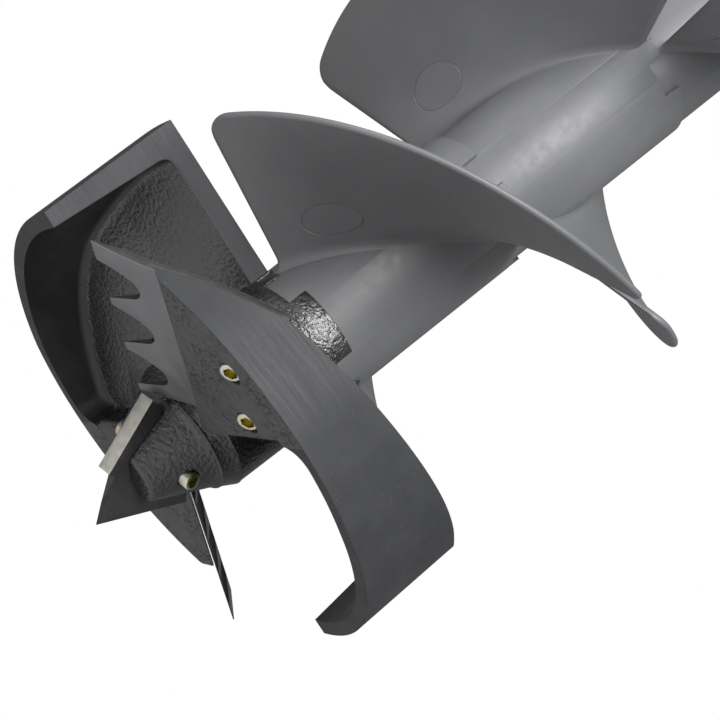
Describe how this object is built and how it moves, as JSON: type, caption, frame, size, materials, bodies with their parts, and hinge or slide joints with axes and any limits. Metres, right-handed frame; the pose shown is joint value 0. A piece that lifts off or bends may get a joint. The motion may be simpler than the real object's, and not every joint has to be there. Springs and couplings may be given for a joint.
{
  "type": "ice fishing auger",
  "caption": "Drill-driven ice auger: cast head with bolt-on serrated blades and a spade point, helical flights in stacked plastic segments, quick-release hex drive.",
  "frame": {"origin": "centre of the hex shank's top end face, where a drill holds it", "axes": "+Z along the auger from the cutting point to the drive end; +X towards the snap button"},
  "size_m": [0.1878, 0.188, 0.924],
  "materials": {
    "cast_iron_black": "rough black casting, turned on its rim",
    "blade_steel": "ground, satin",
    "bare_steel": "ground edges on dark plate",
    "yellow_zinc": "yellow zinc plate",
    "zinc_steel": "bright zinc plate",
    "black_steel": "satin black oxide",
    "flight_plastic": "satin moulded"
  },
  "bodies": {
    "root": {"cutting_head": "cast_iron_black", "center_point": "bare_steel", "center_screw_1": "yellow_zinc", "center_screw_2": "yellow_zinc", "serrated_blade_1": "blade_steel", "serrated_blade_2": "blade_steel", "tie_rod": "zinc_steel", "tie_rod_washer": "zinc_steel", "tie_rod_nut": "zinc_steel", "top_cap": "flight_plastic", "drive_adapter": "black_steel", "hex_shank": "zinc_steel", "shank_pin": "black_steel", "button_spring": "zinc_steel", "flight_segment_1": "flight_plastic", "flight_segment_2": "flight_plastic", "flight_segment_3": "flight_plastic", "flight_segment_4": "flight_plastic", "flight_segment_5": "flight_plastic", "flight_segment_6": "flight_plastic", "flight_segment_7": "flight_plastic", "flight_segment_8": "flight_plastic", "blade_screw_1": "yellow_zinc", "blade_screw_2": "yellow_zinc", "blade_screw_3": "yellow_zinc", "blade_screw_4": "yellow_zinc", "blade_nut_1": "yellow_zinc", "blade_nut_2": "yellow_zinc", "blade_nut_3": "yellow_zinc", "blade_nut_4": "yellow_zinc"},
    "button": {"snap_button": "zinc_steel"}
  },
  "joints": [
    {"name": "snap_button_press", "type": "slide", "parent": "root", "child": "button", "axis": [1, 0, 0], "range_m": [-0.0058, 0], "stiffness_N_per_m": 600, "springref_m": 0.003, "deforming": ["button_spring"]}
  ]
}
